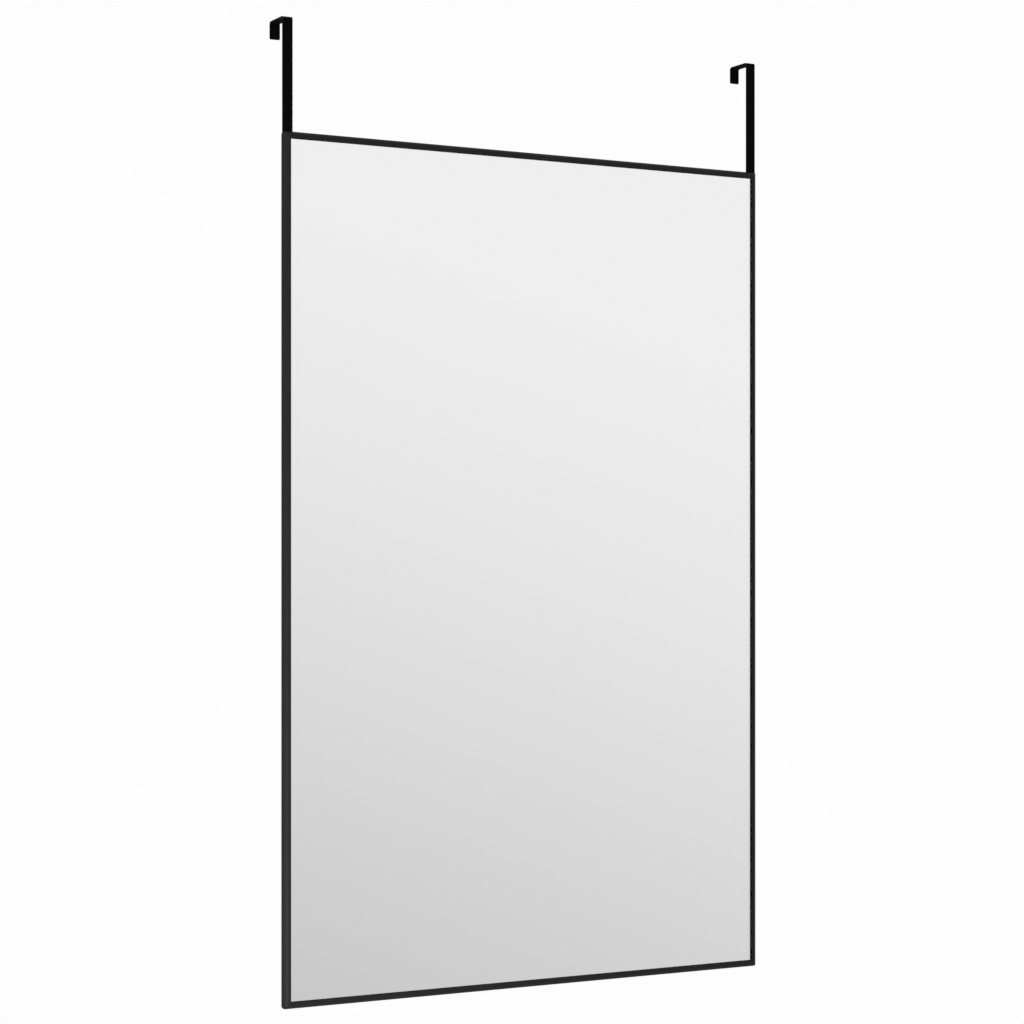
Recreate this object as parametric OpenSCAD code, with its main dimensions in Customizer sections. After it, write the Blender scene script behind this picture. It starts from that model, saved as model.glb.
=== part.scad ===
// Over the door mirror: a thin mitred frame with a curved outer edge holds a flat
// mirror, and two flat steel hooks, which slide in its rear channels, hang it on a door.
// Millimetres. +Z is up and the mirror faces -Y. The origin is on the door's front top
// edge, midway between the hooks: y = 0 is the door's front face, z = 0 is the left seat.

/* [Frame] */
// Width over the frame
frame_w = 685; // [400:1:900]
// Height over the frame
frame_h = 1060; // [700:1:1500]
// Width of each rail's face, seen from the front
rail_w = 9; // [8:0.1:12]
// Radius of the rails' curved outer edge
nose_r = 8.8; // [7:0.1:8.9]
// Radius of the frame's outer corners, seen from the front
corner_r = 5; // [3:0.1:7]
// Thickness of the lip in front of the glass
lip_t = 1.2; // [1:0.1:1.8]
// Thickness of the web between the glass and the rear channel
web_t = 0.8; // [0.7:0.05:1.2]
// Thickness of the flange behind the back panel
flange_t = 1; // [0.8:0.1:1.6]
// How far the flange reaches inward from the channel
flange_reach = 2.8; // [2:0.1:5]
// Least wall around the glass, and the channel's inner wall
rail_wall = 0.8; // [0.6:0.05:1]
// Outer wall of the rear channel
channel_wall = 0.65; // [0.5:0.05:1]
// Chamfer in the channel's outer corner
channel_chamfer = 0.8; // [0.6:0.05:0.9]

/* [Mirror and backing] */
// Thickness of the glass
glass_t = 3; // [2:0.1:4]
// Gap between the glass and the rail's slot, all round
glass_gap = 0.3; // [0.2:0.05:0.6]
// Thickness of the silvering and its paint
silver_t = 0.1; // [0.05:0.01:0.2]
// Thickness of the safety film
film_t = 0.2; // [0.1:0.05:0.4]
// Gap between the safety film and the rails' web
web_gap = 0.3; // [0.2:0.05:0.4]
// Thickness of the foam strips
foam_t = 0.5; // [0.4:0.1:1.2]
// Width of the foam strips
foam_w = 12; // [6:0.5:20]
// Distance from the frame's outside to a foam strip
foam_inset = 20; // [18:0.5:40]
// Gap between the ends of two foam strips at a corner
foam_end_gap = 4; // [2:0.5:20]
// Thickness of the back panel
panel_t = 3; // [2.5:0.1:4]
// Gap between the back panel and the channel's inner wall
panel_gap = 0.5; // [0.3:0.1:1]

/* [Corner plates] */
// Thickness of the corner plates
plate_t = 0.9; // [0.9:0.05:1.2]
// Gap between a corner plate and the channel's sides
plate_gap = 0.2; // [0.1:0.05:0.5]
// Leg of a plate that carries a hook
plate_long_leg = 96; // [92:1:130]
// Every other leg of the plates
plate_short_leg = 44; // [36:1:70]
// Radius of a plate's outer corner
plate_corner_r = 3; // [2:0.1:5]

/* [Hooks] */
// Width of the hooks' strip
strap_w = 13; // [10:0.1:16]
// Thickness of the hooks' strip
strap_t = 2; // [1.5:0.1:2.4]
// Gap on each side of a hook's strip in its channel
strap_gap = 0.1; // [0.05:0.05:0.4]
// Inside radius of the hooks' bends
bend_r = 1.5; // [1:0.1:3]
// Gap between a hook's two legs, steel to steel
door_gap = 36.5; // [32:0.1:50]
// Height of the lip behind the door
hook_lip_h = 21.5; // [15:0.5:40]
// Left hook's height above the frame, as photographed
left_rise = 138.7; // [125:0.1:157]
// Right hook's height above the frame, as photographed
right_rise = 146.1; // [125:0.1:157]
// Least height of a hook above the frame
rise_min = 122; // [110:1:124]
// Greatest height of a hook above the frame
rise_max = 160; // [158:1:180]
// Strip left below the slot
slot_end_land = 8; // [6:0.5:14]
// Radius of the hooks' cut corners
strap_corner_r = 1.5; // [1:0.1:3]

/* [Screws] */
// Upper hook screw, below the frame's top
hook_screw_top = 30; // [24:1:34]
// Distance between a hook's two screws
hook_screw_pitch = 50; // [30:1:54]
// Radius of a hook screw's shank
hook_screw_r = 1.45; // [1.2:0.05:1.6]
// Radius of a hook screw's head
hook_head_r = 2.75; // [2.4:0.05:2.8]
// Clearance between a hook's slot and its screws
slot_clear = 0.35; // [0.3:0.05:0.4]
// Frame screws, from the corner
frame_screw_at = 30; // [20:1:34]
// Radius of a frame screw's shank
frame_screw_r = 1; // [0.8:0.05:1.2]
// Radius of a frame screw's head
frame_head_r = 1.8; // [1.6:0.05:1.8]
// Gap between a screw and its threaded hole
thread_gap = 0.05; // [0.02:0.01:0.1]
// Gap between a screw and its clearance hole
hole_gap = 0.2; // [0.1:0.05:0.3]

/* [Pads] */
// Thickness of the rubber pads inside the hooks
pad_t = 0.5; // [0.3:0.1:1]
// Pads' distance from the hooks' edges and bends
pad_inset = 1.5; // [1:0.1:3]
// How far the bumpers stand behind the frame, against the door
bumper_proud = 0.5; // [0.3:0.1:2]
// Radius of a bumper's foot
bumper_r = 7; // [5:0.5:12]
// Taper of a bumper
bumper_taper = 1; // [0.5:0.1:2]
// Bumpers' distance from the frame's sides and bottom
bumper_inset = 40; // [32:1:80]
// Upper bumpers' distance from the frame's top
bumper_drop = 165; // [150:1:260]

/* [Hidden] */
$fn = 64;
eps = 0.1;

// Depths are counted back from the frame's front: lip, glass, silvering, film, foam,
// back panel and flange. Behind the film's edge lie the web, a corner plate and a hook.
glass_back = lip_t + glass_t;
silver_back = glass_back + silver_t;
film_back = silver_back + film_t;
foam_back = film_back + foam_t;
panel_back = foam_back + panel_t;
frame_d = panel_back + flange_t;
door_face = frame_d + bumper_proud;
web_front = film_back + web_gap;
web_back = web_front + web_t;
plate_back = web_back + plate_t;
strap_front = plate_back;
strap_back = strap_front + strap_t;

// Distances inward from the frame's outside: the hook's strip fills the rear channel.
strap_u = channel_wall + strap_gap;
strap_mid = strap_u + strap_w / 2;
channel_in = strap_u + strap_w + strap_gap;
wall_in = channel_in + rail_wall;
flange_in = wall_in + flange_reach;
plate_u = channel_wall + channel_chamfer + plate_gap;
plate_w = channel_in - plate_gap - plate_u;

// The slot for the glass keeps the least wall to the curve.
nose = min(nose_r, rail_w - eps, frame_d - eps);
slot_u = nose - sqrt(pow(nose - rail_wall, 2) - pow(nose - lip_t, 2));

frame_head_h = frame_head_r - frame_screw_r;
hook_head_h = hook_head_r - hook_screw_r;
head_sink = 0.05;
hook_head_back = strap_back - head_sink;

hook_d = strap_t + door_gap + strap_t;
bend_out = bend_r + strap_t;
// The slot's ends, below the top of the hook: each stops on its screw.
slot_top = rise_min + hook_screw_top;
slot_bottom = rise_max + hook_screw_top + hook_screw_pitch;
strap_len = slot_bottom + slot_end_land;
slot_r = hook_screw_r + slot_clear;
slot_sink_front = hook_head_back - hook_head_h - strap_front - slot_clear * (sqrt(2) - 1);

frame_top_z = -(left_rise - strap_t - pad_t);

// Depths from the frame's top: each hook's two screws, and the frame screw between them.
hook_screw_drops = [hook_screw_top, hook_screw_top + hook_screw_pitch];
mid_screw_drop = hook_screw_top + hook_screw_pitch / 2;

frame_color = [0.06, 0.06, 0.065];
steel_color = [0.02, 0.02, 0.022];
zinc_color = [0.6, 0.6, 0.62];

// Moves a shape from the frame's own corner (front, lower left) to the part's frame.
module on_frame() {
  translate([-frame_w / 2, -door_face, frame_top_z - frame_h]) children();
}

// Copies a shape of the left side to the right side.
module to_right() {
  translate([frame_w, 0, 0]) mirror([1, 0, 0]) children();
}

// Copies a shape of the lower side to the upper side.
module to_top() {
  translate([0, 0, frame_h]) mirror([0, 0, 1]) children();
}

// Lays an upright shape along the frame's bottom, corner on corner.
module lay_down() {
  mirror([1, 0, -1]) children();
}

// A rod along the depth, from one depth to another, r1 in front and r2 behind.
module depth_rod(x, z, front, back, r1, r2) {
  translate([x, front, z]) rotate([-90, 0, 0]) cylinder(h = back - front, r1 = r1, r2 = r2);
}

// What is cut from a square corner at the origin to round it, between two depths.
module corner_cut(r, front, back) {
  translate([0, back + eps, 0]) rotate([90, 0, 0]) linear_extrude(height = back - front + 2 * eps)
    difference() {
      translate([-eps, -eps]) square([r + eps, r + eps]);
      translate([r, r]) circle(r = r);
    }
}

// ---- Frame rails ----

// The rail's section before its slots: a curved front edge and a straight back.
module rail_outline() {
  intersection() {
    translate([nose, nose]) circle(r = nose);
    square([nose, nose]);
  }
  translate([0, nose]) square([flange_in, frame_d - nose]);
  translate([nose, 0]) square([flange_in - nose, frame_d]);
}

// The channel behind the web, where the corner plates and a hook's strip lie.
module channel_section() {
  polygon([
    [channel_wall, frame_d + eps], [channel_wall, web_back + channel_chamfer],
    [channel_wall + channel_chamfer, web_back], [channel_in, web_back],
    [channel_in, frame_d + eps]
  ]);
}

module rail_section() {
  difference() {
    rail_outline();
    translate([rail_w, -eps]) square([flange_in, web_front + eps]);
    translate([slot_u, lip_t]) square([flange_in, web_front - lip_t]);
    translate([wall_in, web_front - eps]) square([flange_in, panel_back - web_front + eps]);
  }
}

// The wall that a closed end of the channel keeps round the frame's corner.
module channel_corner() {
  translate([channel_wall, 0, channel_wall]) corner_cut(corner_r - channel_wall, web_back, frame_d);
}

// The channel along a rail, closed at its start, its end or both.
module channel(length, start_closed, end_closed) {
  difference() {
    linear_extrude(height = length) channel_section();
    if (start_closed) channel_corner();
    if (end_closed) translate([0, 0, length]) mirror([0, 0, 1]) channel_corner();
  }
}

// An upright rail with mitred ends and rounded outer corners, its outside on x = 0.
module rail(length, start_closed, end_closed) {
  deep = flange_in + eps;
  intersection() {
    difference() {
      linear_extrude(height = length) rail_section();
      channel(length, start_closed, end_closed);
      corner_cut(corner_r, 0, frame_d);
      translate([0, 0, length]) mirror([0, 0, 1]) corner_cut(corner_r, 0, frame_d);
    }
    translate([0, frame_d + eps, 0]) rotate([90, 0, 0]) linear_extrude(height = frame_d + 2 * eps)
      polygon([[0, 0], [deep, deep], [deep, length - deep], [0, length]]);
  }
}

// A threaded hole through the web, in the middle of the channel.
module web_thread(z, r) {
  depth_rod(strap_mid, z, web_front - eps, web_back + eps, r + thread_gap, r + thread_gap);
}

// The channel is open at the top, where a hook's strip comes out.
module side_rail() {
  difference() {
    rail(frame_h, true, false);
    web_thread(frame_screw_at, frame_screw_r);
    web_thread(frame_h - mid_screw_drop, frame_screw_r);
    for (drop = hook_screw_drops) web_thread(frame_h - drop, hook_screw_r);
  }
}

module cross_rail(closed) {
  difference() {
    rail(frame_w, closed, closed);
    web_thread(frame_screw_at, frame_screw_r);
    web_thread(frame_w - frame_screw_at, frame_screw_r);
  }
}

// The top rail's outer wall is cut away where a hook's strip comes out of its channel.
module hook_notch() {
  translate([-eps, strap_front - strap_gap, -eps])
    cube([channel_wall + 2 * eps, frame_d, channel_in + eps]);
}

module top_rail() {
  difference() {
    cross_rail(false);
    hook_notch();
    translate([0, 0, frame_w]) mirror([0, 0, 1]) hook_notch();
  }
}

module frame_left() {
  color(frame_color) on_frame() side_rail();
}

module frame_right() {
  color(frame_color) on_frame() to_right() side_rail();
}

module frame_bottom() {
  color(frame_color) on_frame() lay_down() cross_rail(true);
}

module frame_top() {
  color(frame_color) on_frame() to_top() lay_down() top_rail();
}

// ---- Corner plates and their screws ----

// An L of two legs on the web, for the lower left corner, its outer corner rounded.
module corner_plate(upright_leg, cross_leg) {
  translate([plate_u, web_back, plate_u]) difference() {
    union() {
      cube([plate_w, plate_t, upright_leg - plate_u]);
      cube([cross_leg - plate_u, plate_t, plate_w]);
    }
    corner_cut(plate_corner_r, 0, plate_t);
  }
}

// A clearance hole through a plate, sunk behind for the head of a frame screw.
module plate_hole(x, z) {
  depth_rod(x, z, web_back - eps, plate_back + eps,
    frame_screw_r + hole_gap, frame_screw_r + hole_gap);
  depth_rod(x, z, plate_back - frame_head_h - head_sink, plate_back + eps,
    frame_screw_r + hole_gap, frame_head_r + hole_gap + head_sink + eps);
}

module plate_thread(x, z) {
  thread_r = hook_screw_r + thread_gap;
  depth_rod(x, z, web_back - eps, plate_back + eps, thread_r, thread_r);
}

module lower_plate() {
  difference() {
    corner_plate(plate_short_leg, plate_short_leg);
    plate_hole(strap_mid, frame_screw_at);
    plate_hole(frame_screw_at, strap_mid);
  }
}

module upper_plate() {
  difference() {
    to_top() corner_plate(plate_long_leg, plate_short_leg);
    plate_hole(frame_screw_at, frame_h - strap_mid);
    plate_hole(strap_mid, frame_h - mid_screw_drop);
    for (drop = hook_screw_drops) plate_thread(strap_mid, frame_h - drop);
  }
}

module corner_plate_bottom_left() {
  color(zinc_color) on_frame() lower_plate();
}

module corner_plate_bottom_right() {
  color(zinc_color) on_frame() to_right() lower_plate();
}

module corner_plate_top_left() {
  color(zinc_color) on_frame() upper_plate();
}

module corner_plate_top_right() {
  color(zinc_color) on_frame() to_right() upper_plate();
}

// A countersunk screw along the depth, from the web's front to its head's flat face.
module sunk_screw(x, z, head_back, shank_r, head_r) {
  head_h = head_r - shank_r;
  depth_rod(x, z, web_front, head_back, shank_r, shank_r);
  depth_rod(x, z, head_back - head_h, head_back, shank_r, head_r);
}

module frame_screw(x, z) {
  sunk_screw(x, z, plate_back - head_sink, frame_screw_r, frame_head_r);
}

module left_frame_screws() {
  frame_screw(strap_mid, frame_screw_at);
  frame_screw(frame_screw_at, strap_mid);
  frame_screw(frame_screw_at, frame_h - strap_mid);
  frame_screw(strap_mid, frame_h - mid_screw_drop);
}

module frame_screws() {
  color(steel_color) on_frame() {
    left_frame_screws();
    to_right() left_frame_screws();
  }
}

// ---- Mirror and backing ----

// A sheet between two depths, its edges a given distance inside the frame's outside.
module sheet(u, front, back) {
  translate([u, front, u]) cube([frame_w - 2 * u, back - front, frame_h - 2 * u]);
}

module mirror_glass() {
  color([0.8, 0.85, 0.83]) on_frame() sheet(slot_u + glass_gap, lip_t, glass_back);
}

module mirror_silvering() {
  color([0.9, 0.9, 0.9]) on_frame() sheet(slot_u + glass_gap, glass_back, silver_back);
}

module safety_film() {
  color([0.75, 0.78, 0.8]) on_frame() sheet(slot_u + glass_gap, silver_back, film_back);
}

module foam_upright() {
  translate([foam_inset, film_back, foam_inset])
    cube([foam_w, foam_t, frame_h - 2 * foam_inset]);
}

module foam_cross() {
  start = foam_inset + foam_w + foam_end_gap;
  translate([start, film_back, foam_inset]) cube([frame_w - 2 * start, foam_t, foam_w]);
}

module foam_strips() {
  color([0.92, 0.92, 0.9]) on_frame() {
    foam_upright();
    to_right() foam_upright();
    foam_cross();
    to_top() foam_cross();
  }
}

module back_panel() {
  color([0.42, 0.3, 0.2]) on_frame() sheet(wall_in + panel_gap, foam_back, panel_back);
}

// ---- Bumpers ----

module bumper(z) {
  color(frame_color) on_frame()
    depth_rod(bumper_inset, z, panel_back, door_face, bumper_r, bumper_r - bumper_taper);
}

module right_bumper(z) {
  color(frame_color) on_frame() to_right()
    depth_rod(bumper_inset, z, panel_back, door_face, bumper_r, bumper_r - bumper_taper);
}

module bumper_bottom_left() {
  bumper(bumper_inset);
}

module bumper_bottom_right() {
  right_bumper(bumper_inset);
}

module bumper_top_left() {
  bumper(frame_h - bumper_drop);
}

module bumper_top_right() {
  right_bumper(frame_h - bumper_drop);
}

// ---- Hooks ----

// A quarter ring whose centre is at the origin, in the quadrant of +x and +y.
module bend_section() {
  intersection() {
    difference() {
      circle(r = bend_out);
      circle(r = bend_r);
    }
    square([bend_out, bend_out]);
  }
}

// The strip from the side: depth to the right, height up, the top of the bridge on y = 0.
module strap_section() {
  translate([0, -strap_len]) square([strap_t, strap_len - bend_out]);
  translate([bend_out, -bend_out]) mirror([1, 0]) bend_section();
  translate([bend_out, -strap_t]) square([hook_d - 2 * bend_out, strap_t]);
  translate([hook_d - bend_out, -bend_out]) bend_section();
  translate([hook_d - strap_t, -hook_lip_h]) square([strap_t, hook_lip_h - bend_out]);
}

module end_corner_cuts(z, front, back) {
  translate([0, 0, z]) corner_cut(strap_corner_r, front, back);
  translate([strap_w, 0, z]) mirror([1, 0, 0]) corner_cut(strap_corner_r, front, back);
}

// A slot of two round ends and straight sides, from one depth to another.
module slot_layer(front, back, r1, r2) {
  for (z = [-slot_top, -slot_bottom]) depth_rod(0, z, front, back, r1, r2);
  translate([0, 0, -slot_bottom]) linear_extrude(height = slot_bottom - slot_top)
    polygon([[-r1, front], [r1, front], [r2, back], [-r2, back]]);
}

// The slot that lets the hook move on its screws, countersunk from behind.
module strap_slot() {
  back = strap_t + eps;
  translate([strap_w / 2, 0, 0]) {
    slot_layer(-eps, back, slot_r, slot_r);
    slot_layer(slot_sink_front, back, slot_r, slot_r + back - slot_sink_front);
  }
}

// A hook on the left side, lifted so that its top is this high above the frame.
module hook(rise) {
  translate([strap_u, strap_front, frame_h + rise]) difference() {
    rotate([90, 0, 90]) linear_extrude(height = strap_w) strap_section();
    strap_slot();
    end_corner_cuts(-strap_len, 0, strap_t);
    end_corner_cuts(-hook_lip_h, hook_d - strap_t, hook_d);
  }
}

module hook_pad(rise) {
  pad_w = strap_w - 2 * pad_inset;
  bridge_len = door_gap - 2 * bend_r - 2 * pad_inset;
  lip_len = hook_lip_h - bend_out - 2 * pad_inset;
  translate([strap_u + pad_inset, strap_front, frame_h + rise]) {
    translate([0, bend_out + pad_inset, -strap_t - pad_t]) cube([pad_w, bridge_len, pad_t]);
    translate([0, hook_d - strap_t - pad_t, pad_inset - hook_lip_h]) cube([pad_w, pad_t, lip_len]);
  }
}

module hook_screws() {
  for (drop = hook_screw_drops)
    sunk_screw(strap_mid, frame_h - drop, hook_head_back, hook_screw_r, hook_head_r);
}

module hook_left() {
  color(steel_color) on_frame() hook(left_rise);
}

module hook_right() {
  color(steel_color) on_frame() to_right() hook(right_rise);
}

module hook_pad_left() {
  color(frame_color) on_frame() hook_pad(left_rise);
}

module hook_pad_right() {
  color(frame_color) on_frame() to_right() hook_pad(right_rise);
}

module hook_screws_left() {
  color(steel_color) on_frame() hook_screws();
}

module hook_screws_right() {
  color(steel_color) on_frame() to_right() hook_screws();
}

frame_top();
frame_bottom();
frame_left();
frame_right();
corner_plate_top_left();
corner_plate_top_right();
corner_plate_bottom_left();
corner_plate_bottom_right();
frame_screws();
mirror_glass();
mirror_silvering();
safety_film();
foam_strips();
back_panel();
bumper_top_left();
bumper_top_right();
bumper_bottom_left();
bumper_bottom_right();
hook_left();
hook_right();
hook_pad_left();
hook_pad_right();
hook_screws_left();
hook_screws_right();
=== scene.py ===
# %% [markdown]
# # A mirror that hangs over a door
#
# The real object is a tall sheet of silvered glass in a thin black metal frame. Two flat steel
# hooks slide in channels in the back of the frame and reach over the top edge of a door. The solid
# parts, with their true sizes, come from a CAD model. This file dresses them: it rebuilds the
# visible pieces with soft edges and real recesses, gives every piece a material, and sets up a
# small studio.
#
# All lengths are in metres. +Z is up, the mirror faces -Y, and the origin lies on the door's front
# top edge, midway between the hooks.

import math

import bmesh
import bpy
from mathutils import Matrix, Vector


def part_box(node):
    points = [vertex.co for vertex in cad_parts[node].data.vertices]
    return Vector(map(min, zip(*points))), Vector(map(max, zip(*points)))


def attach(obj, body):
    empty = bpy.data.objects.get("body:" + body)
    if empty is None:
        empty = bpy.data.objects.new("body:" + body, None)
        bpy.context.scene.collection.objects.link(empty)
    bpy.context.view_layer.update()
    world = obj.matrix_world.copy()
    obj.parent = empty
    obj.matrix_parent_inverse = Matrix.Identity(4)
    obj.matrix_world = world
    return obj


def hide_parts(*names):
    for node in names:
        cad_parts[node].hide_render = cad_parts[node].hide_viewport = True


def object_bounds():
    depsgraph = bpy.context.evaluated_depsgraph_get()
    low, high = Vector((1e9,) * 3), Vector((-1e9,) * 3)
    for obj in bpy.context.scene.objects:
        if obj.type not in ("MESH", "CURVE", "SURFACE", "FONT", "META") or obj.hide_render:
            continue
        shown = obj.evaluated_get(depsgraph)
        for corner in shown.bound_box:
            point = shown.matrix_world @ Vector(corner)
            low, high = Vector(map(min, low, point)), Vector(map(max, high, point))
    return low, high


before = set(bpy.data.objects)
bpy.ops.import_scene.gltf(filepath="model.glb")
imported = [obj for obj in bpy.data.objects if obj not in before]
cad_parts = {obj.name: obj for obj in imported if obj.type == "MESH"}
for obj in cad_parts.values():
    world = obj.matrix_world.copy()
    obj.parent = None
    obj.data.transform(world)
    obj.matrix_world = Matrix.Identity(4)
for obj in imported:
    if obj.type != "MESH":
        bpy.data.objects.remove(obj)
cad_low, cad_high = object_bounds()
print("Overall size in mm:", [round(1000 * side, 1) for side in cad_high - cad_low])

# %% [markdown]
# ## The sizes that the pieces share
#
# The CAD boxes already hold nearly every size: where the frame ends, how deep the glass lies, how
# wide a hook is. Reading them here, in place of typing them again, keeps the dressed pieces on the
# solid ones. Only what a box can't tell, such as a radius, is a number of its own.

# %% Read the shared sizes
MM = 0.001

frame_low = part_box("frame_left")[0]
frame_low.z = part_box("frame_bottom")[0].z
frame_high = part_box("frame_right")[1]
frame_high.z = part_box("frame_top")[1].z
glass_low, glass_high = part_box("mirror_glass")
panel_low, panel_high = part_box("back_panel")
hook_low, hook_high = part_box("hook_left")
screws_low, screws_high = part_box("frame_screws")

front_y = frame_low.y
door_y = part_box("bumper_top_left")[1].y
frame_width = frame_high.x - frame_low.x
frame_height = frame_high.z - frame_low.z

print("Frame", round(frame_width / MM, 1), "by", round(frame_height / MM, 1), "mm")
print("Glass", round((glass_high.y - glass_low.y) / MM, 2), "mm thick, its face",
      round((glass_low.y - front_y) / MM, 2), "mm behind the frame's front")

# %% [markdown]
# ## Helpers at the bench
#
# Each new piece starts as a bmesh, Blender's editable mesh. `keep_as_piece` turns one into an object
# whose place is in its mesh, with the object itself at the origin, as on the CAD nodes. Its normals
# are recalculated, because mirroring or spinning a shape can turn it inside out.
#
# `cut_away` is a drill or a saw: it subtracts one shape from another with an exact boolean and keeps
# the result as plain mesh. `bar_between` adds a plain box from one corner to the other, for a piece
# or for a cutter. `soften_edges` breaks every sharp edge by a small width, as paint, wear or a punch
# does on a real part. An edge with no width never catches the light and looks unreal.

# %% Make, cut and soften pieces
weld_distance = 0.0005 * MM
sharp_in_shading = math.radians(50)


def keep_as_piece(bench, name):
    """Makes an object from a bmesh and frees the bmesh."""
    bmesh.ops.remove_doubles(bench, verts=bench.verts[:], dist=weld_distance)
    bmesh.ops.recalc_face_normals(bench, faces=bench.faces[:])
    mesh = bpy.data.meshes.new(name)
    bench.to_mesh(mesh)
    bench.free()
    piece = bpy.data.objects.new(name, mesh)
    bpy.context.scene.collection.objects.link(piece)
    return piece


def cut_away(piece, cutter_bench):
    """Subtracts the bmesh's shape from the piece."""
    cutter = keep_as_piece(cutter_bench, piece.name + "_cutter")
    step = piece.modifiers.new("cut", "BOOLEAN")
    step.operation = "DIFFERENCE"
    step.solver = "EXACT"
    step.object = cutter
    bpy.context.view_layer.update()
    seen = piece.evaluated_get(bpy.context.evaluated_depsgraph_get())
    mesh = bpy.data.meshes.new_from_object(seen)
    piece.modifiers.clear()
    piece.data = mesh
    bpy.data.objects.remove(cutter)


def bar_between(bench, low, high):
    """A box from its lowest corner to its highest."""
    middle = [(a + b) / 2 for a, b in zip(low, high)]
    sides = [b - a for a, b in zip(low, high)]
    place = Matrix.Translation(middle) @ Matrix.Diagonal((*sides, 1))
    bmesh.ops.create_cube(bench, size=1, matrix=place)


def soften_edges(piece, width, segments=2, sharper_than=30):
    """Bevels every edge that turns by more than the given angle in degrees."""
    bench = bmesh.new()
    bench.from_mesh(piece.data)
    bmesh.ops.remove_doubles(bench, verts=bench.verts[:], dist=weld_distance)
    least = math.radians(sharper_than)
    sharp = [edge for edge in bench.edges
             if len(edge.link_faces) == 2 and edge.calc_face_angle(0) > least]
    bmesh.ops.bevel(bench, geom=sharp, offset=width, segments=segments, profile=0.5,
                    affect="EDGES", clamp_overlap=True, material=-1)
    bmesh.ops.recalc_face_normals(bench, faces=bench.faces[:])
    bench.to_mesh(piece.data)
    bench.free()


def smooth_shading(piece):
    """Smooths the shading, with wide faces kept flat by weighted normals."""
    for face in piece.data.polygons:
        face.use_smooth = True
    piece.data.set_sharp_from_angle(angle=sharp_in_shading)
    weighted = piece.modifiers.new("weighted normals", "WEIGHTED_NORMAL")
    weighted.keep_sharp = True


def settle(piece, body, node):
    """Puts a finished piece on its CAD body, in place of its CAD node."""
    smooth_shading(piece)
    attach(piece, body)
    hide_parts(node)
    print(piece.name, "stands for", node, "with", len(piece.data.polygons), "faces")


# %% [markdown]
# ## The frame's rails
#
# The frame is four lengths of one black aluminium extrusion. Seen from its end, the rail has a wide
# curve outside, a thin lip in front of the glass and a slot for it. Behind the glass lie a thin web
# and a flange over the back panel. Such a bar could be boxed up from cubes, but its section is the
# real thing's own drawing: so it is drawn once as a flat face, its outer corner rounded with a
# vertex bevel, and extruded to length. A plane then saws each end at 45 degrees, and six more planes
# round the frame's corner there, as a file would.

# %% Draw and extrude the rail's section
rail_width = 9.0 * MM
nose_radius = 8.8 * MM
nose_steps = 14
glass_gap = 0.3 * MM
panel_gap = 0.5 * MM
slide_gap = 0.1 * MM
flange_reach = 2.8 * MM
channel_chamfer = 0.8 * MM
corner_radius = 5 * MM
corner_cuts = 6
saw_waste = 20 * MM

lip_depth = glass_low.y - front_y
web_front = screws_low.y - front_y
web_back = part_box("corner_plate_top_left")[0].y - front_y
panel_depth = panel_high.y - front_y
frame_depth = frame_high.y - front_y
slot_inset = glass_low.x - frame_low.x - glass_gap
channel_wall = hook_low.x - frame_low.x - slide_gap
channel_inset = hook_high.x - frame_low.x + slide_gap
wall_inset = panel_low.x - frame_low.x - panel_gap
flange_inset = wall_inset + flange_reach


def rail_bar(length):
    """The extrusion, too long by the saw's waste at both ends. Its outside lies on x = 0."""
    outline = [
        (0, 0), (rail_width, 0), (rail_width, lip_depth), (slot_inset, lip_depth),
        (slot_inset, web_front), (wall_inset, web_front), (wall_inset, panel_depth),
        (flange_inset, panel_depth), (flange_inset, frame_depth), (0, frame_depth)]
    bench = bmesh.new()
    corners = [bench.verts.new((x, y, -saw_waste)) for x, y in outline]
    bench.faces.new(corners)
    bmesh.ops.bevel(bench, geom=[corners[0]], offset=nose_radius, segments=nose_steps,
                    profile=0.5, affect="VERTICES", material=-1)
    grown = bmesh.ops.extrude_face_region(bench, geom=bench.faces[:])
    far_end = [item for item in grown["geom"] if isinstance(item, bmesh.types.BMVert)]
    bmesh.ops.translate(bench, verts=far_end, vec=(0, 0, length + 2 * saw_waste))
    return bench


def saw_off(bench, point, away):
    """Saws along a plane through the point, drops the side of `away` and closes the cut."""
    everything = bench.verts[:] + bench.edges[:] + bench.faces[:]
    cut = bmesh.ops.bisect_plane(bench, geom=everything, plane_co=point, plane_no=away,
                                 clear_outer=True)
    rim = [item for item in cut["geom_cut"] if isinstance(item, bmesh.types.BMEdge)]
    bmesh.ops.contextual_create(bench, geom=rim)


def mitred_rail(length):
    """A bar sawn at 45 degrees at both ends, longest along its outside, its corners filed round."""
    bench = rail_bar(length)
    step = math.radians(45) / corner_cuts
    for end, inward in ((0, 1), (length, -1)):
        saw_off(bench, (0, 0, end), (1, 0, -inward))
        centre = Vector((corner_radius, 0, end + inward * corner_radius))
        for cut in range(corner_cuts):
            turn = math.pi + step * (cut + 0.5)
            away = Vector((math.cos(turn), 0, inward * math.sin(turn)))
            saw_off(bench, centre + away * corner_radius * math.cos(step / 2), away)
    return bench


print("Rail section:", round(flange_inset / MM, 2), "by", round(frame_depth / MM, 2), "mm")

# %% [markdown]
# ## The channel for the hooks
#
# A channel runs along the back of each rail. At the frame's lower corners it ends in a wall that
# follows the rounded corner, and at the top it runs out, for there the hooks come up. Its cutter is
# convex, so it is the hull of three outlines at three depths. The first outline is narrower by a
# chamfer, which keeps the metal under the rail's curve.

# %% Shape the cutter for a rail's back
cut_room = 1 * MM


def quarter_turn(radius, centre, steps=13):
    """Points of a quarter circle from the left of its centre to right below it.

    An odd number of steps keeps every point off the mitre's plane.
    """
    turns = [math.pi * (1 + step / steps / 2) for step in range(steps + 1)]
    return [(centre[0] + radius * math.cos(a), centre[1] + radius * math.sin(a)) for a in turns]


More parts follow.
